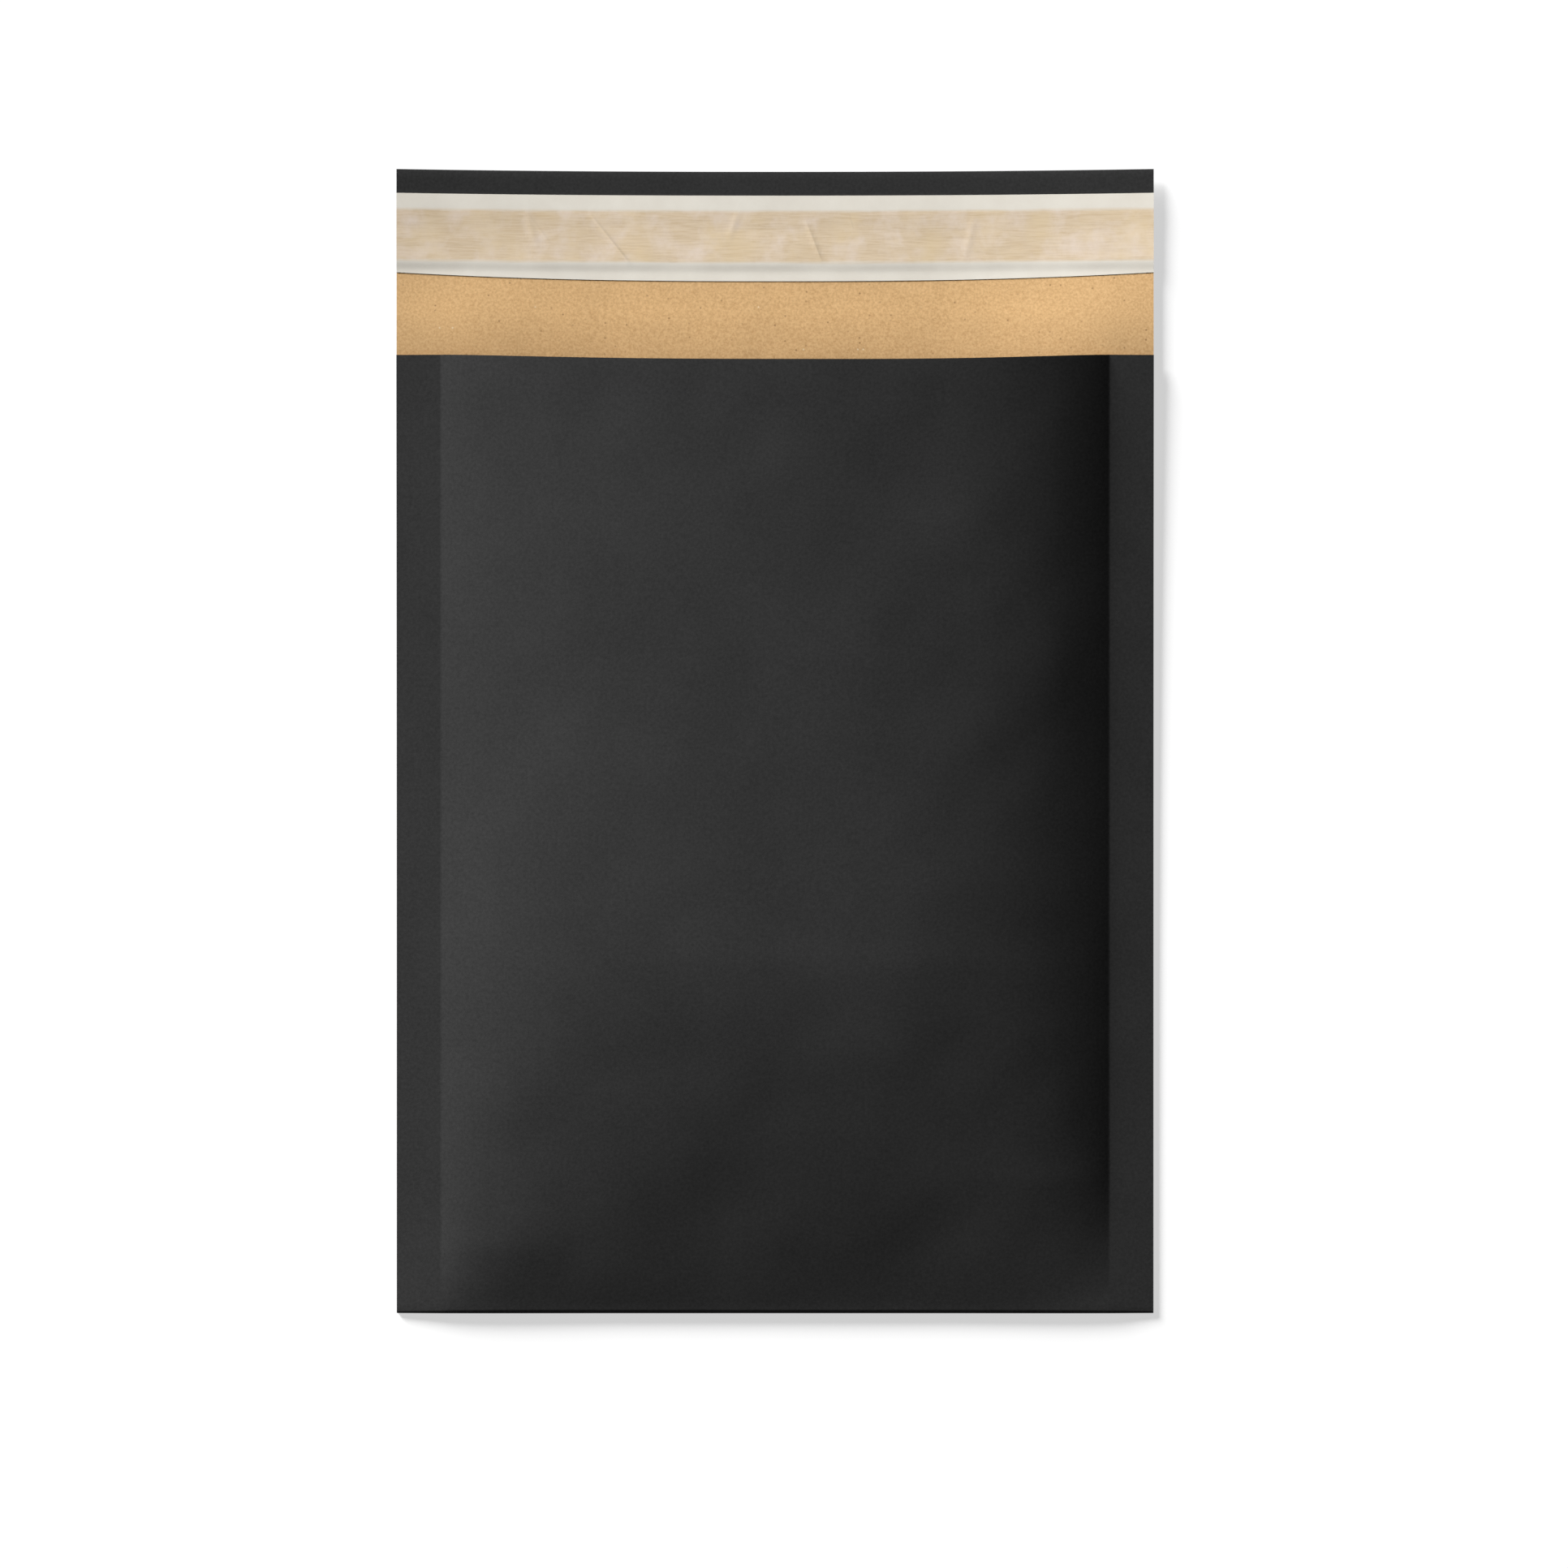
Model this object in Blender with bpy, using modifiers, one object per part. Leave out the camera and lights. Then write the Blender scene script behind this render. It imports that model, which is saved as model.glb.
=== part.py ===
"""A padded envelope lying on its back with its flap open.

Four pieces: one sheet of kraft paper folded into a front, a back and a flap with a turned edge; a bubble
lining folded and sealed into a pouch inside it; a strip of adhesive along the flap; and the release liner
that covers the adhesive. Units are metres. +Z is up, +X runs across the envelope, and +Y runs from the
bottom fold to the flap. The origin is on the surface it lies on, at the middle of its length and width.
"""

import math

import bmesh
import bpy

# Driving dimensions
WIDTH = 0.170  # across both side seams
BODY_LENGTH = 0.2152  # bottom fold to mouth, along a seam
FLAP_LENGTH = 0.0418  # mouth to the flap's turned edge
SEAM_WIDTH = 0.010  # flat sealed strip down each side
PAPER = 0.0002  # kraft paper with its laminated film
PAD = 0.003  # one wall of bubble lining
CLEARANCE = 0.0003  # between neighbouring pieces

# The lining
SEALED_FILM = 0.0004  # both walls melted together in a seam
LINING_SETBACK = 0.001  # the lining's mouth is this far inside the paper's
POCKET_EDGE = 0.074  # the pocket reaches this far each side of the middle
POCKET_FROM_FOLD = 0.0035
SLOT = 0.0002  # between the lining's walls where they are pressed together

# The lie of the body
BULGE_AT_MOUTH = 0.0120  # height of the body's middle over its seams
BULGE_AT_FOLD = 0.0003
BULGE_LENGTH = 0.080  # from the bottom fold to full height
BULGE_RISE_POWER = 1.45  # near 1 for a straight taper, 2 for a round one
SEAM_SLOPE_LEFT = 0.38  # rise over run of the front from the back, where they leave a seam
SEAM_SLOPE_RIGHT = 0.52
BULGE_POWER_LEFT = 9.0  # at most, where the body is thin: a low power makes a round section
BULGE_POWER_RIGHT = 6.0
CREST = 0.004  # the front is highest this far right of the middle
REST_HALF_WIDTH = 0.035  # the back lies flat this far each side of the middle
SEAM_LEVEL_FOLD = 0.0011  # height of a seam's middle layer at the bottom fold
SEAM_LEVEL_MOUTH = 0.0023  # and at the mouth
SEAM_LEVEL_POWER = 3.0  # it rises mostly near the mouth
SEAM_DROOP = 0.0004  # fall of a seam's underside from its inner edge to its outer one, at the bottom fold
SEAM_TAPER = 0.0006  # extra thickness at its inner edge
FOLD_DEPTH = 0.0013  # how far the bottom fold's curve reaches along the body
MOUTH_SAG = 0.0016  # the front's mouth edge is this much shorter in the middle
MOUTH_SAG_POWER = 1.3

# The flap
FLAP_END_RISE = 0.0016  # its two ends curl up this far above its middle
FLAP_END_POWER = 1.8
FLAP_LIFT = 0.0002  # its turned edge stands this far off the surface
FLAP_SETTLE = 0.025  # the body's section changes into the flap's in this length
FLAP_BOW = 0.0005  # its turned edge is this much shorter in the middle
HEM_DEPTH = 0.008  # the edge is turned over by this much
HEM_GAP = 0.0001  # inside the turned edge
LINER_FROM_EDGE = 0.0054  # black edge left showing above the liner
LINER_WIDTH = 0.0178  # at its two ends
LINER_BOW = 0.0014  # extra width in the middle of its lower edge
LINER_BOW_POWER = 2.6
LINER_PAPER = 0.00012
GLUE_FROM_LINER = 0.0035  # liner's upper edge to the adhesive
GLUE_WIDTH = 0.0115
GLUE_THICKNESS = 0.0002

HALF_WIDTH = WIDTH / 2
POCKET_HALF = HALF_WIDTH - SEAM_WIDTH
SEAM_STACK = 2 * PAPER + 2 * CLEARANCE + SEALED_FILM
LENGTH = BODY_LENGTH + FLAP_LENGTH
HEM_RADIUS = PAPER + HEM_GAP / 2

# Columns across the envelope: wide in the middle, close where the pad rises from a seam
HALF_COLUMNS = (0.0, 0.010, 0.021, 0.032, 0.042, 0.050, 0.057, 0.063, 0.068, 0.072, 0.075, 0.080, 0.085)
COLUMNS = tuple(-x for x in reversed(HALF_COLUMNS[1:])) + HALF_COLUMNS
POCKET_COLUMNS = (
    (-POCKET_EDGE,) + tuple(x for x in COLUMNS if abs(x) < POCKET_EDGE) + (POCKET_EDGE,)
)
BODY_SHARES = (0.04, 0.09, 0.15, 0.22, 0.30, 0.39, 0.49, 0.62, 0.75, 0.88, 1.0)
FLAP_SHARES = (0.15, 0.30, 0.45, 0.60, 0.80)
FOLD_STEPS = 8
LINING_FOLD_STEPS = 4
HEM_STEPS = 6
STRIP_STEPS = 3
POCKET_CUT_PAST_MOUTH = 0.006


def clamp(value):
    return min(max(value, 0.0), 1.0)


def ease(value):
    """0 to 1 with a soft start and end."""
    t = clamp(value)
    return t * t * (3 - 2 * t)


def rise(along):
    """How much of its full height the body has, at a distance along from the bottom fold."""
    return 1 - (1 - clamp(along / BULGE_LENGTH)) ** BULGE_RISE_POWER


def bulge(x, along):
    """Height of the body over its seams. The front leaves each seam at its own slope, or less near the fold."""
    if abs(x) >= POCKET_HALF:
        return 0.0
    middle = BULGE_AT_FOLD + (BULGE_AT_MOUTH - BULGE_AT_FOLD) * rise(along)
    if x < CREST:
        slope, run, most = SEAM_SLOPE_LEFT, POCKET_HALF + CREST, BULGE_POWER_LEFT
    else:
        slope, run, most = SEAM_SLOPE_RIGHT, POCKET_HALF - CREST, BULGE_POWER_RIGHT
    power = min(slope * run / middle, most)
    return middle * (1 - (abs(x - CREST) / run) ** power)


def thickness(x, along):
    """From the back's outer face to the front's."""
    return SEAM_STACK + SEAM_TAPER * (1 - across_seam(x)) + bulge(x, along)


def pad(x, along):
    """Thickness of one wall of the lining, which is pressed where the body is thin."""
    room = thickness(x, along) - 2 * PAPER - 2 * CLEARANCE
    return min(PAD, (room - SLOT) / 2)


def across_seam(x):
    """0 at a seam's inner edge and 1 at its outer one."""
    return clamp((abs(x) - POCKET_HALF) / SEAM_WIDTH)


def body_back(x, along):
    """Height of the back's outer face in the body."""
    climb = clamp(along / BODY_LENGTH) ** SEAM_LEVEL_POWER
    level = SEAM_LEVEL_FOLD + (SEAM_LEVEL_MOUTH - SEAM_LEVEL_FOLD) * climb - SEAM_STACK / 2
    reach = ease((abs(x) - REST_HALF_WIDTH) / (POCKET_HALF - REST_HALF_WIDTH))
    return level * reach - SEAM_DROOP * (1 - climb) * across_seam(x)


def back(x, along):
    """Height of the outer face of the back and, past the mouth, of the flap."""
    body = body_back(x, min(along, BODY_LENGTH))
    past_mouth = along - BODY_LENGTH
    ends = clamp((abs(x) - REST_HALF_WIDTH) / (HALF_WIDTH - REST_HALF_WIDTH)) ** FLAP_END_POWER
    flap = FLAP_END_RISE * ends + FLAP_LIFT * clamp(past_mouth / FLAP_LENGTH) ** 2
    mix = ease(past_mouth / FLAP_SETTLE)
    return body * (1 - mix) + flap * mix


def front(x, along):
    """Height of the front's outer face."""
    return body_back(x, along) + thickness(x, along)


def mouth(x):
    """Distance of the front's mouth edge from the bottom fold. The pad takes up some of the sheet."""
    share = bulge(x, BODY_LENGTH) / BULGE_AT_MOUTH
    return BODY_LENGTH - MOUTH_SAG * share**MOUTH_SAG_POWER


def flap_edge(x):
    """Distance of the flap's turned edge from the bottom fold."""
    return LENGTH - FLAP_BOW * (1 - (x / HALF_WIDTH) ** 2)


def liner_edge(x):
    """Distance of the liner's upper edge from the bottom fold."""
    return flap_edge(x) - LINER_FROM_EDGE


def liner_width(x):
    return LINER_WIDTH + LINER_BOW * (1 - abs(x / HALF_WIDTH) ** LINER_BOW_POWER)


def fold_size(x, inset=0.0):
    """Reach along the body, half height and middle height of the bottom fold, inside by inset."""
    half_height = thickness(x, FOLD_DEPTH) / 2
    reach = min(FOLD_DEPTH, half_height)
    return reach - inset, half_height - inset, body_back(x, FOLD_DEPTH) + half_height


def from_fold(x, share, end):
    """Distance from the bottom fold, for a share of the way from the fold's curve to end."""
    start = fold_size(x)[0]
    return start + share * (end - start)


# Rows of the kraft sheet's outer face. Each gives a function from x to (along, height).


def hem_top_row(depth):
    def place(x):
        along = flap_edge(x) - depth
        return along, back(x, along) + 2 * HEM_RADIUS

    return place


def hem_curve_row(angle):
    """0 degrees meets the flap and 180 degrees the top of the turned edge."""

    def place(x):
        centre = flap_edge(x) - HEM_RADIUS
        return centre + HEM_RADIUS * math.sin(angle), back(x, centre) + HEM_RADIUS * (1 - math.cos(angle))

    return place


def flap_row(share):
    def place(x):
        along = BODY_LENGTH + share * (flap_edge(x) - HEM_RADIUS - BODY_LENGTH)
        return along, back(x, along)

    return place


def back_row(share):
    def place(x):
        along = from_fold(x, share, BODY_LENGTH)
        return along, back(x, along)

    return place


def fold_row(angle):
    """-90 degrees meets the back and 90 degrees the front."""

    def place(x):
        reach, half_height, middle = fold_size(x)
        return reach * (1 - math.cos(angle)), middle + half_height * math.sin(angle)

    return place


def front_row(share):
    def place(x):
        along = from_fold(x, share, mouth(x))
        return along, front(x, along)

    return place


def sheet_rows():
    """From the turned edge's cut end, along the flap and the back, round the fold to the front's mouth."""
    rows = [hem_top_row(HEM_DEPTH), hem_top_row(HEM_DEPTH / 2)]
    rows += [hem_curve_row(math.pi * (1 - step / HEM_STEPS)) for step in range(HEM_STEPS + 1)]
    rows += [flap_row(share) for share in reversed(FLAP_SHARES)]
    rows += [back_row(share) for share in reversed(BODY_SHARES)]
    rows += [fold_row(math.pi * (step / FOLD_STEPS - 0.5)) for step in range(FOLD_STEPS + 1)]
    rows += [front_row(share) for share in BODY_SHARES]
    return rows


# Rows of the lining and of its pocket. Each gives a function from x to (along, lower, upper).


def lining_fold_row(angle):
    def place(x):
        inset = PAPER + CLEARANCE
        reach, half_height, middle = fold_size(x, inset)
        half = half_height * math.sin(angle)
        return inset + reach * (1 - math.cos(angle)), middle - half, middle + half

    return place


def lining_row(share):
    def place(x):
        along = from_fold(x, share, mouth(x) - LINING_SETBACK)
        inset = PAPER + CLEARANCE
        return along, body_back(x, along) + inset, front(x, along) - inset

    return place


def pocket_heights(x, along):
    """Lower and upper height of the pocket."""
    wall = PAPER + CLEARANCE + pad(x, along)
    return body_back(x, along) + wall, front(x, along) - wall


def pocket_row(share):
    def place(x):
        end = mouth(x) - LINING_SETBACK
        along = POCKET_FROM_FOLD + share * (end - POCKET_FROM_FOLD)
        return (along, *pocket_heights(x, along))

    return place


def past_mouth_row(distance):
    def place(x):
        end = mouth(x) - LINING_SETBACK
        return (end + distance, *pocket_heights(x, end))

    return place


def grid_place(vert, columns, rows):
    """Column and row of a vertex of a flat grid that spans -1 to 1."""
    column = round((vert.co.x + 1) / 2 * (len(columns) - 1))
    row = round((vert.co.y + 1) / 2 * (len(rows) - 1))
    return columns[column], rows[row]


def flat_grid(columns, rows):
    bm = bmesh.new()
    bmesh.ops.create_grid(bm, x_segments=len(columns) - 1, y_segments=len(rows) - 1, size=1)
    return bm


def new_object(name, bm, materials, collection):
    mesh = bpy.data.meshes.new(name)
    bm.to_mesh(mesh)
    bm.free()
    for material in materials:
        mesh.materials.append(material)
    mesh.shade_smooth()
    mesh.set_sharp_from_angle(angle=math.radians(40))
    piece = bpy.data.objects.new(name, mesh)
    collection.objects.link(piece)
    return piece


def bent_sheet(name, rows, thick, materials, collection):
    """A thin sheet: a flat grid whose rows are bent to their places, then given its thickness inwards."""
    bm = flat_grid(COLUMNS, rows)
    for vert in bm.verts:
        x, row = grid_place(vert, COLUMNS, rows)
        along, height = row(x)
        vert.co = (x, along - LENGTH / 2, height)
    sheet = new_object(name, bm, materials, collection)
    solidify = sheet.modifiers.new("Thickness", "SOLIDIFY")
    solidify.thickness = thick
    solidify.offset = -1.0
    solidify.use_even_offset = True
    solidify.material_offset = len(materials) - 1
    solidify.material_offset_rim = len(materials) - 1
    return sheet


def slab(name, columns, rows, materials, collection):
    """A closed slab: a flat grid, extruded once, whose two layers are moved to their own heights."""
    bm = flat_grid(columns, rows)
    extruded = bmesh.ops.extrude_face_region(bm, geom=bm.faces[:])
    upper = {item for item in extruded["geom"] if isinstance(item, bmesh.types.BMVert)}
    for vert in bm.verts:
        x, row = grid_place(vert, columns, rows)
        along, low, high = row(x)
        vert.co = (x, along - LENGTH / 2, high if vert in upper else low)
    bmesh.ops.recalc_face_normals(bm, faces=bm.faces[:])
    return new_object(name, bm, materials, collection)


def plain_material(name, colour, roughness):
    material = bpy.data.materials.new(name)
    material.use_nodes = True
    shader = material.node_tree.nodes["Principled BSDF"]
    shader.inputs["Base Color"].default_value = (*colour, 1.0)
    shader.inputs["Roughness"].default_value = roughness
    shader.inputs["Metallic"].default_value = 0.0
    material.diffuse_color = (*colour, 1.0)
    return material


def build_outer_sheet(parts):
    black = plain_material("black_kraft", (0.030, 0.030, 0.031), 0.8)
    brown = plain_material("brown_kraft", (0.640, 0.390, 0.190), 0.85)
    bent_sheet("outer_sheet", sheet_rows(), PAPER, [black, brown], parts)


def build_bubble_lining(parts, cutters):
    film = plain_material("bubble_film", (0.780, 0.800, 0.820), 0.35)
    steps = range(1, LINING_FOLD_STEPS + 1)
    rows = [lining_fold_row(math.pi / 2 * step / LINING_FOLD_STEPS) for step in steps]
    rows += [lining_row(share) for share in BODY_SHARES]
    lining = slab("bubble_lining", COLUMNS, rows, [film], parts)

    rows = [pocket_row(share) for share in (0.0, *BODY_SHARES)]
    rows.append(past_mouth_row(POCKET_CUT_PAST_MOUTH))
    cutter = slab("pocket_cutter", POCKET_COLUMNS, rows, [film], cutters)
    cutter.hide_render = True
    cutter.display_type = "WIRE"

    cut = lining.modifiers.new("Pocket", "BOOLEAN")
    cut.operation = "DIFFERENCE"
    cut.solver = "EXACT"
    cut.object = cutter


def strip_rows(upper_edge, width, height):
    """Rows of a strip on the flap, from its upper edge down: upper_edge and width are functions of x, and
    height is that of its underside above the sheet's outer face."""

    def strip_row(share):
        def place(x):
            along = upper_edge(x) - share * width(x)
            return along, back(x, along) + height

        return place

    return [strip_row(step / STRIP_STEPS) for step in range(STRIP_STEPS + 1)]


def build_adhesive_strip(parts):
    glue = plain_material("hot_melt_adhesive", (0.620, 0.500, 0.330), 0.4)
    height = PAPER + CLEARANCE

    def upper_edge(x):
        return liner_edge(x) - GLUE_FROM_LINER

    rows = strip_rows(upper_edge, lambda x: GLUE_WIDTH, height)
    bent_sheet("adhesive_strip", rows, GLUE_THICKNESS, [glue], parts)


def build_release_liner(parts):
    white = plain_material("release_paper", (0.730, 0.700, 0.650), 0.45)
    height = PAPER + CLEARANCE + GLUE_THICKNESS + CLEARANCE
    rows = strip_rows(liner_edge, liner_width, height)
    bent_sheet("release_liner", rows, LINER_PAPER, [white], parts)


def new_collection(name):
    collection = bpy.data.collections.new(name)
    bpy.context.scene.collection.children.link(collection)
    return collection


def clear_scene():
    for thing in list(bpy.data.objects):
        bpy.data.objects.remove(thing, do_unlink=True)


def main():
    clear_scene()
    parts = new_collection("padded_envelope")
    cutters = new_collection("cutters")
    cutters.hide_render = True
    build_outer_sheet(parts)
    build_bubble_lining(parts, cutters)
    build_adhesive_strip(parts)
    build_release_liner(parts)


main()
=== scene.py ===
import math
import random

import bmesh
import bpy
import numpy as np
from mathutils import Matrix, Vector, noise


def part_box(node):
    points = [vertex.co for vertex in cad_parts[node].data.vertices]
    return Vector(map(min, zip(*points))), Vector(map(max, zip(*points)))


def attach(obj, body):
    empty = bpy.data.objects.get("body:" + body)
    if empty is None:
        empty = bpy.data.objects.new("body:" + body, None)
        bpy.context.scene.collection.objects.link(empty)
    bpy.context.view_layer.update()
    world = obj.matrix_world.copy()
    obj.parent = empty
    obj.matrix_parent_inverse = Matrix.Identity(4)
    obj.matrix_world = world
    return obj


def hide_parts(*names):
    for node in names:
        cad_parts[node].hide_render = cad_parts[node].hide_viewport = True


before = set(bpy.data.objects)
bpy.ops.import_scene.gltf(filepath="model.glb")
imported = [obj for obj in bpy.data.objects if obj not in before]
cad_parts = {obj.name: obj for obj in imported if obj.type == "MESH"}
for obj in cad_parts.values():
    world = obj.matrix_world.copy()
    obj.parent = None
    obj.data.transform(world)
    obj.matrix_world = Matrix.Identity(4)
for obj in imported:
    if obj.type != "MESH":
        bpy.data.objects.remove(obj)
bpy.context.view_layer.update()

print("frame loaded:", sorted(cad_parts))

# sizes and places in metres, from the frame where it gives them
# "along" is the distance up from the bottom fold
sheetLow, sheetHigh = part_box("outer_sheet")
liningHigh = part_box("bubble_lining")[1]

foldY = sheetLow.y
halfWidth = round(sheetHigh.x, 4)
fullLength = sheetHigh.y - foldY
liningSetback = 0.001
mouthAlong = liningHigh.y - foldY + liningSetback
seamWidth = 0.010
pocketHalf = halfWidth - seamWidth
noiseSpread = 1.6  # brings the noise to about -1 to 1


def clamp(value):
    return np.clip(value, 0.0, 1.0)


def ease(value):
    t = clamp(value)
    return t * t * (3 - 2 * t)


def softNoise(x, along, size, seed):
    # smooth noise over the sheet, about -1 to 1, with features of that size
    flat = [
        noise.noise(Vector((a / size, b / size, seed)))
        for a, b in zip(np.ravel(x), np.ravel(along))
    ]
    return np.array(flat).reshape(np.shape(x)) * noiseSpread


# the lie of the envelope: what a bubble pouch does to the paper round it
lie = {
    "bulgeAtMouth": 0.0120,
    "bulgeAtFold": 0.0003,
    "bulgeLength": 0.080,
    "bulgeRisePower": 1.45,
    "seamSlopeLeft": 0.38,
    "seamSlopeRight": 0.52,
    "powerLeft": 9.0,
    "powerRight": 6.0,
    "crest": 0.004,
    "restHalfWidth": 0.035,
    "seamLevelFold": 0.0011,
    "seamLevelMouth": 0.0023,
    "seamLevelPower": 3.0,
    "seamDroop": 0.0004,
    "seamTaper": 0.0006,
    "seamStack": 0.0011,
    "seamHalf": 0.0007,
    "foldDepth": 0.0013,
    "mouthSag": 0.0016,
    "mouthSagPower": 1.3,
    "flapEndRise": 0.0016,
    "flapEndPower": 1.8,
    "flapLift": 0.0002,
    "flapSettle": 0.025,
    "flapBow": 0.0005,
}


def rise(along):
    return 1 - (1 - clamp(along / lie["bulgeLength"])) ** lie["bulgeRisePower"]


def bulge(x, along):
    # height of the body over its seams
    middle = lie["bulgeAtFold"] + (lie["bulgeAtMouth"] - lie["bulgeAtFold"]) * rise(along)
    side = np.where(np.asarray(x) < lie["crest"], -1, 1)
    slope = np.where(side < 0, lie["seamSlopeLeft"], lie["seamSlopeRight"])
    run = pocketHalf - side * lie["crest"]
    power = np.minimum(slope * run / middle, np.where(side < 0, lie["powerLeft"], lie["powerRight"]))
    return middle * (1 - clamp(np.abs(x - lie["crest"]) / run) ** power)


def acrossSeam(x):
    return clamp((np.abs(x) - pocketHalf) / seamWidth)


def bodyBack(x, along):
    # underside of the back panel
    low, high = lie["seamLevelFold"], lie["seamLevelMouth"]
    climb = clamp(along / mouthAlong) ** lie["seamLevelPower"]
    level = low + (high - low) * climb - lie["seamHalf"]
    reach = ease((np.abs(x) - lie["restHalfWidth"]) / (pocketHalf - lie["restHalfWidth"]))
    return level * reach - lie["seamDroop"] * (1 - climb) * acrossSeam(x)


def backHeight(x, along):
    # underside of the back panel and, past the mouth, of the flap
    body = bodyBack(x, np.minimum(along, mouthAlong))
    past = along - mouthAlong
    flapLength = fullLength - mouthAlong
    ends = clamp((np.abs(x) - lie["restHalfWidth"]) / (halfWidth - lie["restHalfWidth"]))
    flap = lie["flapEndRise"] * ends ** lie["flapEndPower"]
    flap = flap + lie["flapLift"] * clamp(past / flapLength) ** 2
    mix = ease(past / lie["flapSettle"])
    return body * (1 - mix) + flap * mix


def thickness(x, along):
    return lie["seamStack"] + lie["seamTaper"] * (1 - acrossSeam(x)) + bulge(x, along)


def frontHeight(x, along):
    return bodyBack(x, along) + thickness(x, along)


def mouthEdge(x):
    share = bulge(x, mouthAlong) / lie["bulgeAtMouth"]
    return mouthAlong - lie["mouthSag"] * share ** lie["mouthSagPower"]


def flapEdge(x):
    return fullLength - lie["flapBow"] * (1 - (x / halfWidth) ** 2)


# puffy unevenness of the front: a soft noise, and a few dents and crests pressed in by handling
puff = {
    "amount": 0.00028,
    "size": 0.034,
    "fineAmount": 0.00007,
    "fineSize": 0.013,
    "fadeAtSeam": 0.012,
    "fadeAtFold": 0.015,
    # x, y, radius, height
    "dents": [
        (0.027, 0.058, 0.014, -0.00060),
        (0.008, 0.057, 0.014, 0.00050),
        (-0.052, -0.045, 0.018, 0.00050),
        (-0.050, -0.096, 0.016, -0.00060),
        (-0.028, 0.010, 0.015, -0.00035),
        (-0.034, -0.075, 0.016, -0.00045),
        (-0.013, -0.105, 0.014, -0.00030),
        (0.061, 0.018, 0.012, 0.00035),
        (0.027, -0.064, 0.014, 0.00040),
        (-0.050, -0.040, 0.015, 0.00025),
    ],
}


def puffiness(x, along):
    inside = clamp((pocketHalf - np.abs(x)) / puff["fadeAtSeam"]) * clamp(along / puff["fadeAtFold"])
    y = along + foldY
    height = puff["amount"] * softNoise(x, along, puff["size"], 3.7)
    height = height + puff["fineAmount"] * softNoise(x, along, puff["fineSize"], 9.1)
    for centreX, centreY, radius, depth in puff["dents"]:
        away = ((x - centreX) ** 2 + (y - centreY) ** 2) / radius**2
        height = height + depth * np.exp(-away)
    return height * inside


# mesh helpers
def gridMesh(name, columns, rows):
    # a flat grid, with the column and row of each of its points
    bm = bmesh.new()
    bmesh.ops.create_grid(bm, x_segments=columns - 1, y_segments=rows - 1, size=1)
    mesh = bpy.data.meshes.new(name)
    bm.to_mesh(mesh)
    bm.free()
    points = np.empty(len(mesh.vertices) * 3)
    mesh.vertices.foreach_get("co", points)
    points = points.reshape(-1, 3)
    column = np.rint((points[:, 0] + 1) / 2 * (columns - 1)).astype(int)
    row = np.rint((points[:, 1] + 1) / 2 * (rows - 1)).astype(int)
    return mesh, column, row


def placePoints(mesh, x, along, height):
    points = np.stack([x, along + foldY, height], axis=1)
    mesh.vertices.foreach_set("co", points.ravel())
    mesh.update()


def addObject(name, mesh, materials, sharp=35):
    for material in materials:
        mesh.materials.append(material)
    mesh.shade_smooth()
    mesh.set_sharp_from_angle(angle=math.radians(sharp))
    made = bpy.data.objects.new(name, mesh)
    bpy.context.scene.collection.objects.link(made)
    return made


def thicken(made, thickness, inside=0, group=""):
    # the thickness is applied, so that the cut edges can be marked sharp
    solid = made.modifiers.new("thickness", "SOLIDIFY")
    solid.thickness = thickness
    solid.offset = -1
    solid.use_even_offset = True
    solid.material_offset = inside
    solid.vertex_group = group
    bpy.context.view_layer.update()
    mesh = bpy.data.meshes.new_from_object(made.evaluated_get(bpy.context.evaluated_depsgraph_get()))
    made.modifiers.clear()
    made.data = mesh
    mesh.shade_smooth()
    mesh.set_sharp_from_angle(angle=math.radians(40))


def columnPlaces(spacing, closeTo, closeStep=0.0003):
    # even columns from edge to edge, with close ones each side of the seams' inner edges
    steps = int(round(2 * halfWidth / spacing))
    places = set(np.round(np.linspace(-halfWidth, halfWidth, steps + 1), 6))
    for edge in closeTo:
        places = {p for p in places if abs(abs(p) - edge) > 2 * closeStep}
        for side in (-1, 1):
            places |= {round(side * edge + k * closeStep, 6) for k in (-1, 0, 1)}
    return np.array(sorted(places))


# node helpers
def newMaterial(name):
    material = bpy.data.materials.new(name)
    material.use_nodes = True
    tree = material.node_tree
    return material, tree, tree.nodes["Principled BSDF"]


def addNode(tree, kind, inputs=None, **settings):
    made = tree.nodes.new(kind)
    for key, value in settings.items():
        setattr(made, key, value)
    for key, value in (inputs or {}).items():
        if isinstance(value, bpy.types.NodeSocket):
            tree.links.new(value, made.inputs[key])
        else:
            made.inputs[key].default_value = value
    return made


def ramp(tree, value, stops):
    made = addNode(tree, "ShaderNodeValToRGB", {"Fac": value})
    elements = made.color_ramp.elements
    while len(elements) < len(stops):
        elements.new(0.5)
    for element, (position, colour) in zip(elements, stops):
        element.position = position
        element.color = (*colour, 1) if len(colour) == 3 else colour
    return made.outputs["Color"]


def grey(value):
    return (value, value, value)


def mixColour(tree, factor, first, second, blend="MIX"):
    made = tree.nodes.new("ShaderNodeMix")
    made.data_type = "RGBA"
    made.blend_type = blend
    for index, value in ((0, factor), (6, first), (7, second)):
        if isinstance(value, bpy.types.NodeSocket):
            tree.links.new(value, made.inputs[index])
        else:
            made.inputs[index].default_value = value if index == 0 else (*value, 1)
    return made.outputs[2]


def noiseFac(tree, vector, scale, detail=4.0, rough=0.55, distortion=0.0):
    inputs = {"Vector": vector, "Scale": scale, "Detail": detail}
    inputs |= {"Roughness": rough, "Distortion": distortion}
    return addNode(tree, "ShaderNodeTexNoise", inputs).outputs["Fac"]


def objectPlace(tree):
    return stretch(tree, addNode(tree, "ShaderNodeTexCoord").outputs["Object"], (1, 1, 1))


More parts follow.
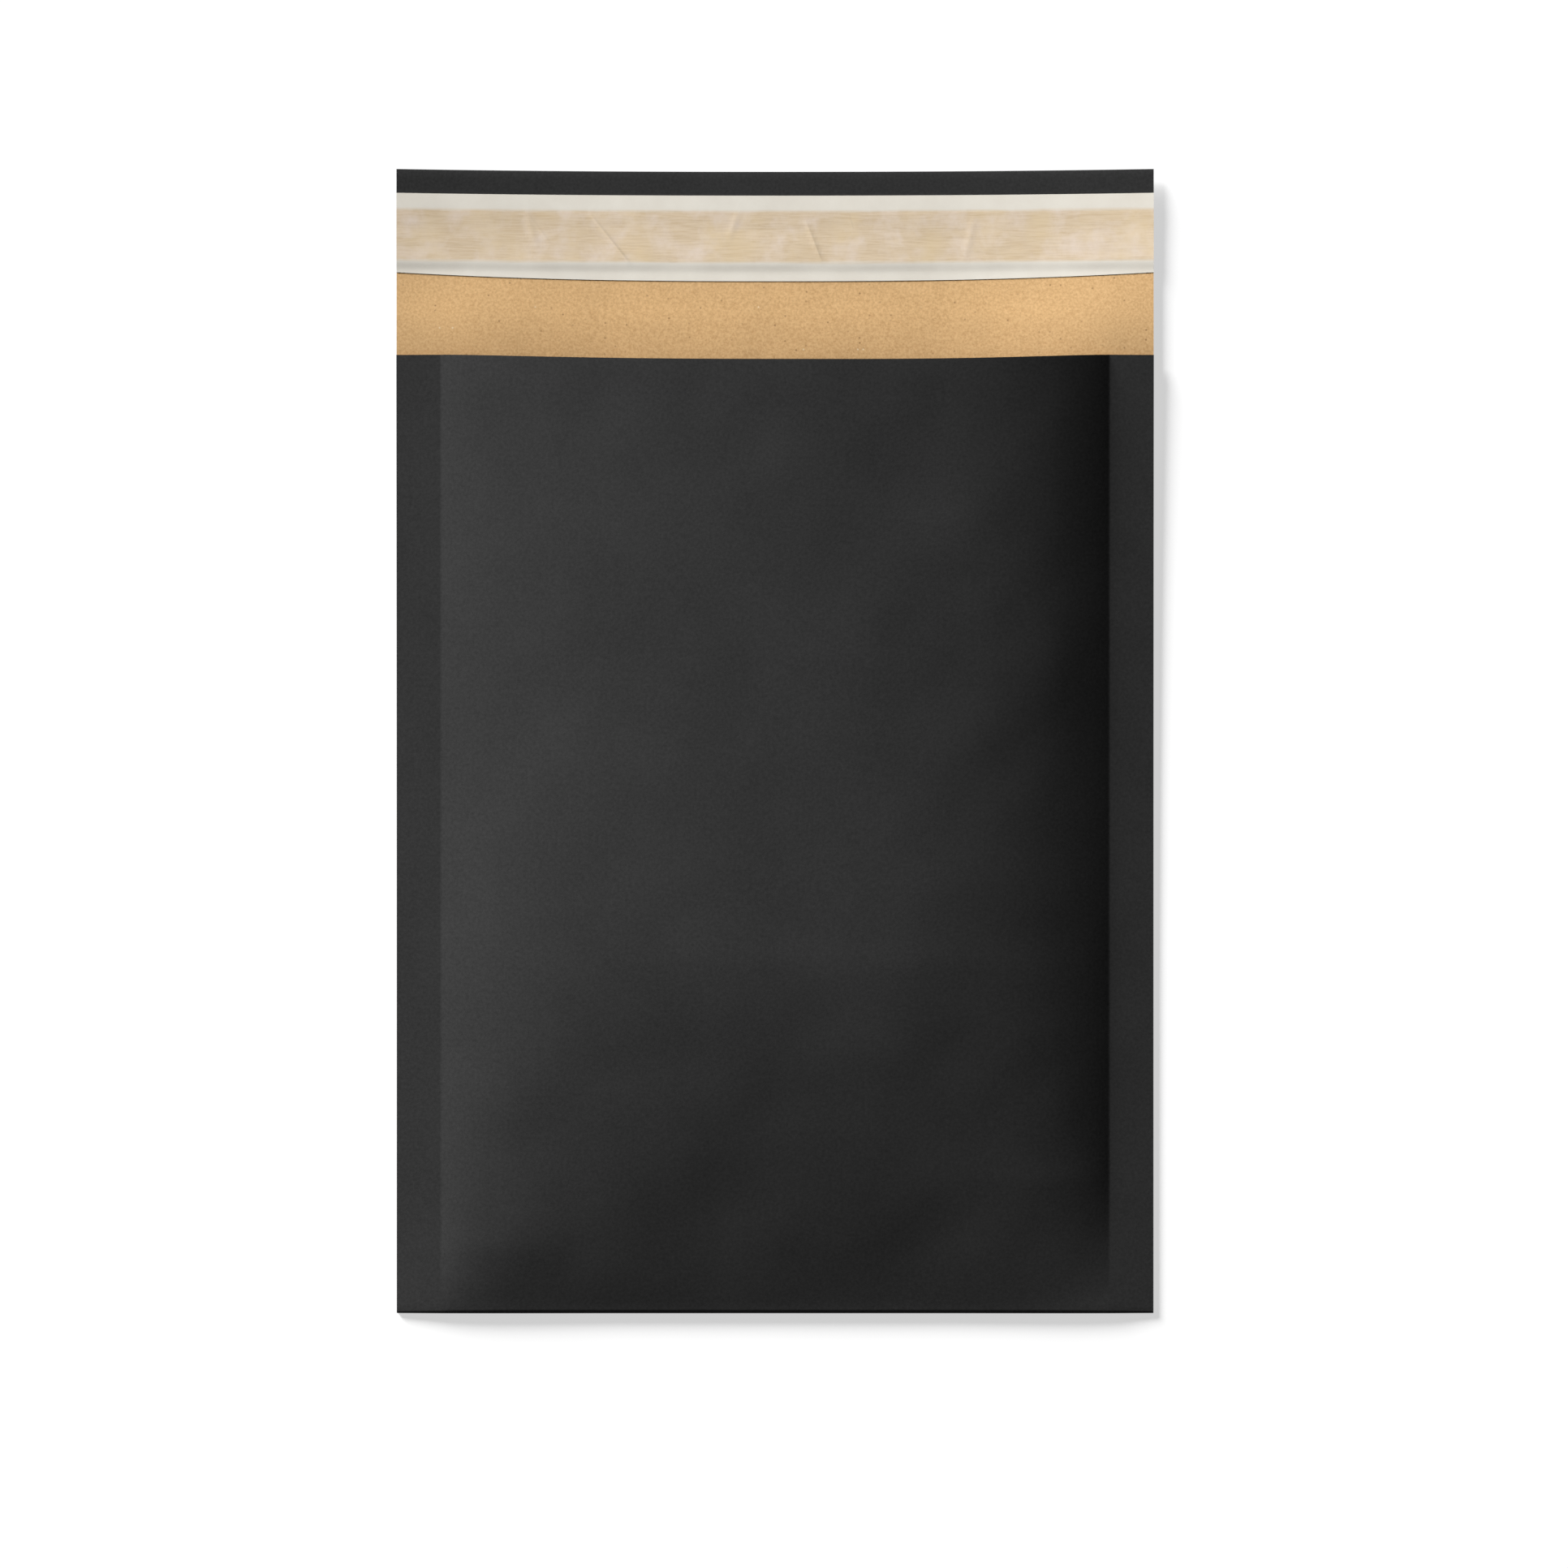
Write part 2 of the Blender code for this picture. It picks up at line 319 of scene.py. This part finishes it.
def stretch(tree, vector, scale, turn=0.0):
    inputs = {"Vector": vector, "Scale": scale, "Rotation": (0, 0, turn)}
    return addNode(tree, "ShaderNodeMapping", inputs).outputs[0]


def bump(tree, shader, height, strength, distance):
    made = addNode(tree, "ShaderNodeBump", {"Height": height, "Strength": strength, "Distance": distance})
    tree.links.new(made.outputs["Normal"], shader.inputs["Normal"])


# finishes
blackKraft = {
    "dark": 0.0210,
    "light": 0.0350,
    "roughness": 0.85,
    "specular": 0.05,
    "grainScale": 1500,
    "grainDepth": 0.00003,
    "cloudScale": 55,
}


def makeBlackKraft():
    material, tree, shader = newMaterial("black_kraft_face")
    place = objectPlace(tree)
    grain = noiseFac(tree, place, blackKraft["grainScale"], 5, 0.65)
    cloud = noiseFac(tree, place, blackKraft["cloudScale"], 3, 0.5)
    both = addNode(tree, "ShaderNodeMath", {0: grain, 1: 0.75}, operation="MULTIPLY").outputs[0]
    both = addNode(tree, "ShaderNodeMath", {0: cloud, 1: 0.25, 2: both}, operation="MULTIPLY_ADD").outputs[0]
    colour = ramp(tree, both, [(0.30, grey(blackKraft["dark"])), (0.70, grey(blackKraft["light"]))])
    tree.links.new(colour, shader.inputs["Base Color"])
    shader.inputs["Roughness"].default_value = blackKraft["roughness"]
    shader.inputs["Specular IOR Level"].default_value = blackKraft["specular"]
    bump(tree, shader, grain, 0.8, blackKraft["grainDepth"])
    return material


brownKraft = {
    "dark": (0.555, 0.338, 0.151),
    "light": (0.725, 0.468, 0.228),
    "roughness": 0.85,
    "specular": 0.12,
    "grainScale": 1800,
    "grainDepth": 0.00004,
    "cloudScale": 90,
    "fleckScale": 420.0,
    "darkFleck": (0.24, 0.135, 0.06),
    "paleFleck": (0.85, 0.74, 0.52),
    # painted shade near the mouth: how far below and above the mouth line the darkening reaches
    "paintedShadeBelow": 0.001,
    "paintedShadeReach": 0.010,
}


def makeBrownKraft():
    material, tree, shader = newMaterial("brown_kraft_face")
    place = objectPlace(tree)
    grain = noiseFac(tree, place, brownKraft["grainScale"], 6, 0.7)
    colour = ramp(tree, grain, [(0.36, brownKraft["dark"]), (0.62, brownKraft["light"])])
    cloud = noiseFac(tree, place, brownKraft["cloudScale"], 3, 0.5)
    tint = ramp(tree, cloud, [(0.3, grey(0.94)), (0.7, grey(1.0))])
    colour = mixColour(tree, 1.0, colour, tint, "MULTIPLY")
    # dark fibre flecks and a few pale ones
    inputs = {"Vector": place, "Scale": brownKraft["fleckScale"], "Randomness": 1.0}
    fleck = addNode(tree, "ShaderNodeTexVoronoi", inputs, voronoi_dimensions="2D")
    size = addNode(tree, "ShaderNodeSeparateColor", {"Color": fleck.outputs["Color"]})
    near = ramp(tree, fleck.outputs["Distance"], [(0.03, grey(1.0)), (0.12, grey(0.0))])
    few = ramp(tree, size.outputs["Red"], [(0.82, grey(0.0)), (0.97, grey(0.8))])
    dark = mixColour(tree, 1.0, near, few, "MULTIPLY")
    colour = mixColour(tree, dark, colour, brownKraft["darkFleck"])
    fewPale = ramp(tree, size.outputs["Green"], [(0.985, grey(0.0)), (0.99, grey(0.6))])
    pale = mixColour(tree, 1.0, near, fewPale, "MULTIPLY")
    colour = mixColour(tree, pale, colour, brownKraft["paleFleck"])
    # painted shade along the mouth: the kraft is darkened towards the mouth line, standing in for the shadow
    # of the front panel's raised edge
    upwards = addNode(tree, "ShaderNodeSeparateXYZ", {"Vector": place}).outputs["Y"]
    mouthY = mouthAlong + foldY
    reach = {"Value": upwards, 1: mouthY - brownKraft["paintedShadeBelow"], 2: mouthY + brownKraft["paintedShadeReach"]}
    fromMouth = addNode(tree, "ShaderNodeMapRange", reach)
    # painted shade: darkest at the mouth line, fading to none further up the flap
    paintedMouthShade = ramp(tree, fromMouth.outputs[0], [(0.0, grey(0.70)), (0.25, grey(0.82)), (1.0, grey(1.0))])
    colour = mixColour(tree, 1.0, colour, paintedMouthShade, "MULTIPLY")
    tree.links.new(colour, shader.inputs["Base Color"])
    shader.inputs["Roughness"].default_value = brownKraft["roughness"]
    shader.inputs["Specular IOR Level"].default_value = brownKraft["specular"]
    bump(tree, shader, grain, 0.5, brownKraft["grainDepth"])
    return material


blackFace = makeBlackKraft()
brownFace = makeBrownKraft()

# the folded kraft sheet, from the turned edge's cut end, under the flap and back,
# round the fold and up the front
sheetShape = {
    "paper": 0.0002,
    "columnSpacing": 0.0013,
    "frontRows": 150,
    "backRows": 70,
    "flapRows": 30,
    "foldSteps": 12,
    "hemDepth": 0.008,
    "hemSteps": 8,
    "hemRadius": 0.00022,
}


def foldHeights(x):
    half = thickness(x, lie["foldDepth"]) / 2
    return np.minimum(lie["foldDepth"], half), half, bodyBack(x, lie["foldDepth"]) + half


def sheetRows(x):
    s = sheetShape
    rows = []
    for depth in (s["hemDepth"], s["hemDepth"] * 0.75, s["hemDepth"] * 0.5, s["hemDepth"] * 0.25):
        along = flapEdge(x) - depth
        rows.append((along, backHeight(x, along) + 2 * s["hemRadius"]))
    centre = flapEdge(x) - s["hemRadius"]
    for step in range(s["hemSteps"] + 1):
        angle = math.pi * (1 - step / s["hemSteps"])
        along = centre + s["hemRadius"] * math.sin(angle)
        rows.append((along, backHeight(x, centre) + s["hemRadius"] * (1 - math.cos(angle))))
    for share in np.linspace(1, 0, s["flapRows"] + 1)[1:]:
        along = mouthAlong + share * (centre - mouthAlong)
        rows.append((along, backHeight(x, along)))
    start, half, middle = foldHeights(x)
    for share in np.linspace(1, 0, s["backRows"] + 1)[1:-1]:
        along = start + share * (mouthAlong - start)
        rows.append((along, backHeight(x, along)))
    for angle in np.linspace(-math.pi / 2, math.pi / 2, s["foldSteps"] + 1):
        rows.append((start * (1 - math.cos(angle)), middle + half * math.sin(angle)))
    for share in np.linspace(0, 1, s["frontRows"] + 1)[1:]:
        along = start + share * (mouthEdge(x) - start)
        rows.append((along, frontHeight(x, along) + puffiness(x, along)))
    return rows


def buildSheet():
    x = columnPlaces(sheetShape["columnSpacing"], [pocketHalf])
    rows = sheetRows(x)
    along = np.array([r[0] for r in rows])
    height = np.array([r[1] for r in rows])
    mesh, column, row = gridMesh("kraft_sheet", len(x), len(rows))
    placePoints(mesh, x[column], along[row, column], height[row, column])
    made = addObject("kraft_sheet", mesh, [blackFace, brownFace])
    thicken(made, sheetShape["paper"], inside=1)
    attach(made, "root")
    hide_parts("outer_sheet")


buildSheet()
print("kraft sheet built")

# the bubble lining: film against the paper, folded at the bottom, with its domes facing into the pocket
bubbles = {
    "film": 0.00015,
    "sealedFilm": 0.00025,
    "fromPaper": 0.0001,
    "edgeInset": 0.0007,
    "dark": (0.66, 0.68, 0.70),
    "light": (0.82, 0.83, 0.84),
    "haze": (0.14, 0.30),
    "roughness": 0.16,
    "ior": 1.5,
    "pitch": 0.0104,
    "radius": 0.0047,
    "height": 0.0027,
    "shareOfRoom": 0.46,
    "least": 0.0006,
    "segments": 14,
    "rings": 5,
    "columnSpacing": 0.0028,
    "rows": 76,
    "foldSteps": 8,
    "lastRowFromMouth": 0.0016,
}


def makeBubbleFilm():
    material, tree, shader = newMaterial("bubble_film_clear")
    place = objectPlace(tree)
    cloud = noiseFac(tree, place, 260, 4, 0.6)
    colour = ramp(tree, cloud, [(0.3, bubbles["dark"]), (0.7, bubbles["light"])])
    tree.links.new(colour, shader.inputs["Base Color"])
    low, high = bubbles["haze"]
    haze = ramp(tree, cloud, [(0.3, grey(low)), (0.7, grey(high))])
    tree.links.new(haze, shader.inputs["Alpha"])
    shader.inputs["Roughness"].default_value = bubbles["roughness"]
    shader.inputs["IOR"].default_value = bubbles["ior"]
    bump(tree, shader, noiseFac(tree, place, 700, 3, 0.5), 0.4, 0.00008)
    return material


def liningInset():
    return sheetShape["paper"] + bubbles["fromPaper"]


def frontInside(x, along):
    return frontHeight(x, along) + puffiness(x, along) - liningInset()


def backInside(x, along):
    return bodyBack(x, along) + liningInset()


def buildFilm(name, material):
    # one sheet of film from the front's mouth round the fold to the back's mouth
    inset = liningInset()
    x = columnPlaces(bubbles["columnSpacing"], [pocketHalf])
    x = np.clip(x, bubbles["edgeInset"] - halfWidth, halfWidth - bubbles["edgeInset"])
    start, half, middle = foldHeights(x)
    end = mouthEdge(x) - liningSetback
    rows = []
    for share in np.linspace(1, 0, bubbles["rows"] + 1)[:-1]:
        along = start + share * (end - start)
        rows.append((along, backInside(x, along)))
    for angle in np.linspace(-math.pi / 2, math.pi / 2, bubbles["foldSteps"] + 1):
        along = inset + (start - inset) * (1 - math.cos(angle))
        rows.append((along, middle + (half - inset) * math.sin(angle)))
    for share in np.linspace(0, 1, bubbles["rows"] + 1)[1:]:
        along = start + share * (end - start)
        rows.append((along, frontInside(x, along)))
    along = np.array([r[0] for r in rows])
    height = np.array([r[1] for r in rows])
    mesh, column, row = gridMesh(name, len(x), len(rows))
    placePoints(mesh, x[column], along[row, column], height[row, column])
    made = addObject(name, mesh, [material])
    group = made.vertex_groups.new(name="sealed")
    body = bubbles["film"] / bubbles["sealedFilm"]
    for index, place in enumerate(x[column]):
        group.add([index], 1.0 if abs(place) >= pocketHalf - 0.0002 else body, "REPLACE")
    thicken(made, bubbles["sealedFilm"], group="sealed")
    return made


def bubbleCentres():
    radius, pitch = bubbles["radius"], bubbles["pitch"]
    columns = int((pocketHalf - radius) / pitch)
    rowStep = pitch * math.sqrt(3) / 2
    row = 0
    while True:
        along = mouthAlong - lie["mouthSag"] - bubbles["lastRowFromMouth"] - row * rowStep
        if along < radius + 0.003:
            return
        shift = 0.5 * pitch if row % 2 else 0.0
        for k in range(-columns - 1, columns + 1):
            x = k * pitch + shift
            if abs(x) < pocketHalf - radius:
                yield x, along
        row += 1


def bubbleHeight(x, along):
    room = thickness(x, along) - 2 * (liningInset() + bubbles["film"])
    return min(bubbles["height"], bubbles["shareOfRoom"] * float(room))


def domeTemplate():
    # a closed dome of radius and height 1, with the places of its faces' points
    segments, rings = bubbles["segments"], bubbles["rings"]
    turn = np.arange(segments) * 2 * math.pi / segments
    points = [np.array([[0, 0, -0.03]])]
    for ring in range(rings):
        up = ring / rings * math.pi / 2
        circle = np.stack([np.cos(turn), np.sin(turn)], axis=1) * math.cos(up) ** 0.8
        points.append(np.column_stack([circle, np.full(segments, math.sin(up) ** 0.9)]))
    points.append(np.array([[0, 0, 1]]))
    top = 1 + rings * segments
    faces = []
    for k in range(segments):
        n = (k + 1) % segments
        faces.append((0, 1 + n, 1 + k))
        for ring in range(rings - 1):
            low, high = 1 + ring * segments, 1 + (ring + 1) * segments
            faces.append((low + k, low + n, high + n, high + k))
        last = 1 + (rings - 1) * segments
        faces.append((last + k, last + n, top))
    return np.concatenate(points), faces


def makeDomes(wall, rng, template, faces):
    # wall is 1 for the front, whose domes hang down, and -1 for the back
    surface = frontInside if wall == 1 else backInside
    allPoints, allFaces, count = [], [], 0
    for x, along in bubbleCentres():
        tall = bubbleHeight(x, along) * rng.uniform(0.9, 1.0)
        wide = bubbles["radius"] * rng.uniform(0.96, 1.0)
        if tall < bubbles["least"]:
            continue
        across = x + template[:, 0] * wide
        up = along + template[:, 1] * wide
        # the film is cut across the last row of bubbles
        up = np.minimum(up, mouthEdge(across) - liningSetback)
        height = surface(across, up) - wall * (bubbles["film"] + template[:, 2] * tall)
        allPoints.append(np.column_stack([across, up + foldY, height]))
        for face in faces:
            turned = face[::-1] if wall == 1 else face
            allFaces.append([count + k for k in turned])
        count += len(template)
    return np.concatenate(allPoints), allFaces


def buildLining():
    film = makeBubbleFilm()
    pouch = buildFilm("bubble_pouch", film)
    rng = random.Random(4)
    template, faces = domeTemplate()
    made = [pouch]
    for wall, name in ((1, "bubbles_front"), (-1, "bubbles_back")):
        points, allFaces = makeDomes(wall, rng, template, faces)
        mesh = bpy.data.meshes.new(name)
        mesh.from_pydata(points.tolist(), [], allFaces)
        made.append(addObject(name, mesh, [film], sharp=50))
    for piece in made:
        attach(piece, "root")
        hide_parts("bubble_lining")


buildLining()
print("bubble lining built")

# the adhesive band and the release liner over it
strip = {
    "fromEdge": 0.0054,
    "width": 0.0178,
    "bow": 0.0014,
    "bowPower": 2.6,
    "paper": 0.00009,
    "glueFrom": 0.0035,
    "glueWidth": 0.0115,
    "glueThickness": 0.00012,
    "rest": 0.00002,
    "columnSpacing": 0.00055,
    "rows": 44,
    "glueColumns": 120,
    "glueRows": 9,
    "waveSize": 0.011,
    "waveHeight": 0.00003,
    "settle": 0.006,
    "lowerSettle": 0.0025,  # below the adhesive, down onto the kraft
    # creases in the liner: x and distance down from its upper edge, at both ends, then height and half width
    "creases": [
        (-0.0417, 0.0040, -0.0327, 0.0152, 0.00016, 0.00045),
        (0.0068, 0.0055, 0.0106, 0.0150, 0.00012, 0.00040),
        (-0.0560, 0.0035, -0.0535, 0.0120, 0.00006, 0.00060),
        (0.0450, 0.0040, 0.0425, 0.0150, 0.00005, 0.00070),
        (-0.0080, 0.0030, -0.0105, 0.0100, 0.00005, 0.00060),
    ],
}


def linerTop(x):
    return flapEdge(x) - strip["fromEdge"]


def linerWide(x):
    return strip["width"] + strip["bow"] * (1 - np.abs(x / halfWidth) ** strip["bowPower"])


def creaseHeight(x, down):
    total = np.zeros(np.shape(x))
    for x0, d0, x1, d1, tall, half in strip["creases"]:
        dx, dd = x1 - x0, d1 - d0
        along = clamp(((x - x0) * dx + (down - d0) * dd) / (dx * dx + dd * dd))
        away = np.hypot(x - x0 - along * dx, down - d0 - along * dd)
        total = total + tall * np.exp(-((away / half) ** 2)) * np.sin(math.pi * clamp(along * 0.9 + 0.05))
    return total


def linerHeight(x, down):
    # over the turned edge, then over the adhesive
    paper = sheetShape["paper"]
    overHem = 2 * sheetShape["hemRadius"] + strip["rest"]
    overGlue = paper + strip["glueThickness"] + 2 * strip["rest"]
    hemEnd = sheetShape["hemDepth"] - strip["fromEdge"]
    height = overHem + (overGlue - overHem) * ease((down - hemEnd) / strip["settle"])
    belowGlue = ease((down - strip["glueFrom"] - strip["glueWidth"]) / strip["lowerSettle"])
    height = height + (paper + strip["rest"] - overGlue) * belowGlue
    wave = strip["waveHeight"] * (1 + softNoise(x, down, strip["waveSize"], 2.2)) * (1 - belowGlue)
    return height + wave + creaseHeight(x, down)


def buildStrip(name, top, wide, columns, rows, heightOf, thickness, materials, node):
    x = np.linspace(-halfWidth, halfWidth, columns)
    down = np.linspace(0, 1, rows)[:, None] * wide(x)[None, :]
    along = top(x)[None, :] - down
    across = np.broadcast_to(x, along.shape)
    height = backHeight(across, along) + heightOf(across, down)
    mesh, column, row = gridMesh(name, columns, rows)
    # the grid's rows run upwards, so that its faces look up
    row = rows - 1 - row
    placePoints(mesh, x[column], along[row, column], height[row, column] + thickness)
    flat = mesh.uv_layers.new(name="strip")
    corners = np.empty(len(mesh.loops), int)
    mesh.loops.foreach_get("vertex_index", corners)
    uv = np.stack([x[column], down[row, column]], axis=1)[corners]
    flat.data.foreach_set("uv", uv.ravel())
    made = addObject(name, mesh, materials)
    thicken(made, thickness)
    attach(made, "root")
    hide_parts(node)


def glueTop(x):
    return linerTop(x) - strip["glueFrom"]


def glueWide(x):
    return np.full(np.shape(x), strip["glueWidth"])


def glueHeight(x, down):
    return sheetShape["paper"] + strip["rest"] + np.zeros(np.shape(x))


adhesive = {"dark": (0.50, 0.38, 0.22), "light": (0.66, 0.53, 0.34), "roughness": 0.35, "cloudScale": 300}


def makeAdhesive():
    material, tree, shader = newMaterial("tan_adhesive")
    place = objectPlace(tree)
    cloud = noiseFac(tree, place, adhesive["cloudScale"], 4, 0.6)
    colour = ramp(tree, cloud, [(0.3, adhesive["dark"]), (0.7, adhesive["light"])])
    tree.links.new(colour, shader.inputs["Base Color"])
    shader.inputs["Roughness"].default_value = adhesive["roughness"]
    bump(tree, shader, cloud, 0.5, 0.0001)
    return material


releasePaper = {
    "white": (0.735, 0.700, 0.625),
    "whiteDark": (0.690, 0.650, 0.575),
    "tan": (0.690, 0.560, 0.405),
    "tanDark": (0.600, 0.465, 0.310),
    "pink": (0.760, 0.650, 0.560),
    "yellow": (0.720, 0.570, 0.350),
    "roughness": 0.8,
    "specular": 0.06,
    "bandSoftness": 0.0004,
    # painted shade and highlight along fold lines: x and distance down from the upper edge, at both ends,
    # dark (shaded) side, light (lit) side, half width
    "paintedFoldShade": [
        (-0.0417, 0.0040, -0.0327, 0.0152, 0.86, 1.05, 0.0006),
        (0.0068, 0.0052, 0.0106, 0.0150, 0.88, 1.05, 0.0005),
        (-0.0560, 0.0036, -0.0505, 0.0110, 0.95, 1.02, 0.0007),
        (0.0165, 0.0040, 0.0175, 0.0075, 0.93, 1.02, 0.0004),
    ],
}


def makeReleasePaper():
    material, tree, shader = newMaterial("release_paper_face")
    uv = addNode(tree, "ShaderNodeUVMap", uv_map="strip").outputs["UV"]
    fineStreak = noiseFac(tree, stretch(tree, uv, (160, 2600, 1)), 1.0, 5, 0.65, 0.3)
    longStreak = noiseFac(tree, stretch(tree, uv, (45, 800, 1)), 1.0, 4, 0.6, 0.5)
    blotch = noiseFac(tree, uv, 130, 5, 0.62, 0.2)
    patch = noiseFac(tree, stretch(tree, uv, (1, 0.7, 1), 0.3), 75, 4, 0.6)
    fine = noiseFac(tree, uv, 2200, 4, 0.6)
    white = ramp(tree, blotch, [(0.30, releasePaper["whiteDark"]), (0.65, releasePaper["white"])])
    # the adhesive shows through as a tan band, streaked along its length
    tan = ramp(tree, fineStreak, [(0.34, releasePaper["tanDark"]), (0.58, releasePaper["tan"])])
    pinkish = ramp(tree, blotch, [(0.46, grey(0.0)), (0.68, grey(0.75))])
    tan = mixColour(tree, pinkish, tan, releasePaper["pink"])
    yellowish = ramp(tree, patch, [(0.48, grey(0.0)), (0.70, grey(0.55))])
    tan = mixColour(tree, yellowish, tan, releasePaper["yellow"])
    shade = ramp(tree, longStreak, [(0.3, grey(0.95)), (0.65, grey(1.0))])
    tan = mixColour(tree, 1.0, tan, shade, "MULTIPLY")
    down = addNode(tree, "ShaderNodeSeparateXYZ", {"Vector": uv}).outputs["Y"]
    wander = {0: longStreak, 1: 0.0009, 2: -0.00045}
    ragged = addNode(tree, "ShaderNodeMath", wander, operation="MULTIPLY_ADD")
    edge = addNode(tree, "ShaderNodeMath", {0: down, 1: ragged.outputs[0]}, operation="ADD").outputs[0]
    first, last = strip["glueFrom"], strip["glueFrom"] + strip["glueWidth"]
    soft = releasePaper["bandSoftness"]
    opens = addNode(tree, "ShaderNodeMapRange", {"Value": edge, 1: first - soft, 2: first + soft})
    closes = addNode(tree, "ShaderNodeMapRange", {"Value": edge, 1: last + soft, 2: last - soft})
    both = addNode(tree, "ShaderNodeMath", {0: opens.outputs[0], 1: closes.outputs[0]}, operation="MULTIPLY")
    colour = mixColour(tree, both.outputs[0], white, tan)
    # each fold line is painted as a darker shaded side and a lighter lit side across its width
    for x0, d0, x1, d1, dark, light, half in releasePaper["paintedFoldShade"]:
        turn = math.atan2(d1 - d0, x1 - x0)
        length = math.hypot(d1 - d0, x1 - x0)
        # across runs over the line and along runs down it
        inputs = {"Vector": uv, "Location": (x0, d0, 0), "Rotation": (0, 0, turn)}
        local = addNode(tree, "ShaderNodeMapping", inputs, vector_type="TEXTURE").outputs[0]
        axes = addNode(tree, "ShaderNodeSeparateXYZ", {"Vector": local})
        onLine = addNode(tree, "ShaderNodeMapRange", {"Value": axes.outputs["Y"], 1: -half, 2: half})
        inLength = addNode(tree, "ShaderNodeMapRange", {"Value": axes.outputs["X"], 1: 0.0, 2: length})
        endStops = [(0.0, grey(0.0)), (0.15, grey(0.6)), (0.85, grey(1.0)), (1.0, grey(0.0))]
        ends = ramp(tree, inLength.outputs[0], endStops)
        foldShadeStops = [(0.0, grey(1.0)), (0.38, grey(dark)), (0.66, grey(light)), (1.0, grey(1.0))]
        foldShadeTone = ramp(tree, onLine.outputs[0], foldShadeStops)
        foldShaded = mixColour(tree, 1.0, colour, foldShadeTone, "MULTIPLY")
        colour = mixColour(tree, ends, colour, foldShaded)
    tree.links.new(colour, shader.inputs["Base Color"])
    shader.inputs["Roughness"].default_value = releasePaper["roughness"]
    shader.inputs["Specular IOR Level"].default_value = releasePaper["specular"]
    bump(tree, shader, fine, 0.25, 0.00003)
    return material


def buildStrips():
    columns = int(2 * halfWidth / strip["columnSpacing"]) + 1
    buildStrip("adhesive_band", glueTop, glueWide, strip["glueColumns"], strip["glueRows"], glueHeight,
               strip["glueThickness"], [makeAdhesive()], "adhesive_strip")
    buildStrip("release_strip", linerTop, linerWide, columns, strip["rows"], linerHeight, strip["paper"],
               [makeReleasePaper()], "release_liner")


buildStrips()
print("adhesive and release liner built")

# the floor, the lights and the camera
studio = {
    "floorSize": 6.0,
    "floorGrey": 0.46,
    "floorGlow": 0.60,
    "floorCells": 8,
    "floorDrop": 0.00005,  # keeps the floor just under what lies on it
    "keyElevation": 18.5,
    "keyFrom": 131,  # degrees round from +X towards +Y
    "keyStrength": 9.9,
    "keySoftness": 25,
    "worldStrength": 0.035,
}


def makeFloor():
    material, tree, shader = newMaterial("studio_floor")
    place = objectPlace(tree)
    speck = noiseFac(tree, place, 40, 2, 0.5)
    low = studio["floorGrey"]
    colour = ramp(tree, speck, [(0.3, grey(low)), (0.7, grey(low + 0.005))])
    tree.links.new(colour, shader.inputs["Base Color"])
    shader.inputs["Emission Color"].default_value = (1, 1, 1, 1)
    shader.inputs["Emission Strength"].default_value = studio["floorGlow"]
    shader.inputs["Roughness"].default_value = 0.9
    shader.inputs["Specular IOR Level"].default_value = 0.1
    cells = studio["floorCells"]
    mesh, column, row = gridMesh("floor", cells + 1, cells + 1)
    points = np.stack([column - cells / 2, row - cells / 2, np.zeros(len(row))], axis=1)
    points = points / cells * studio["floorSize"]
    points[:, 2] = -studio["floorDrop"]
    mesh.vertices.foreach_set("co", points.ravel())
    mesh.update()
    made = addObject("floor", mesh, [material])


def addLights():
    sun = bpy.data.lights.new("key", "SUN")
    sun.energy = studio["keyStrength"]
    sun.angle = math.radians(studio["keySoftness"])
    key = bpy.data.objects.new("key", sun)
    up = math.radians(studio["keyElevation"])
    turn = math.radians(studio["keyFrom"])
    towards = Vector((math.cos(up) * math.cos(turn), math.cos(up) * math.sin(turn), math.sin(up)))
    key.rotation_euler = towards.to_track_quat("Z", "Y").to_euler()
    bpy.context.scene.collection.objects.link(key)
    world = bpy.data.worlds.new("studio")
    world.use_nodes = True
    world.node_tree.nodes["Background"].inputs["Color"].default_value = (1, 1, 1, 1)
    world.node_tree.nodes["Background"].inputs["Strength"].default_value = studio["worldStrength"]
    bpy.context.scene.world = world


view = {"lens": 150, "sensor": 36, "across": 0.3518, "centre": (0.0020, -0.0096), "level": 0.003}


def addCamera():
    data = bpy.data.cameras.new("camera")
    data.lens = view["lens"]
    data.sensor_width = view["sensor"]
    camera = bpy.data.objects.new("camera", data)
    distance = view["across"] * view["lens"] / view["sensor"]
    camera.location = (*view["centre"], view["level"] + distance)
    bpy.context.scene.collection.objects.link(camera)
    bpy.context.scene.camera = camera


makeFloor()
addLights()
addCamera()
bpy.context.scene.view_settings.view_transform = "Standard"
print("studio ready")
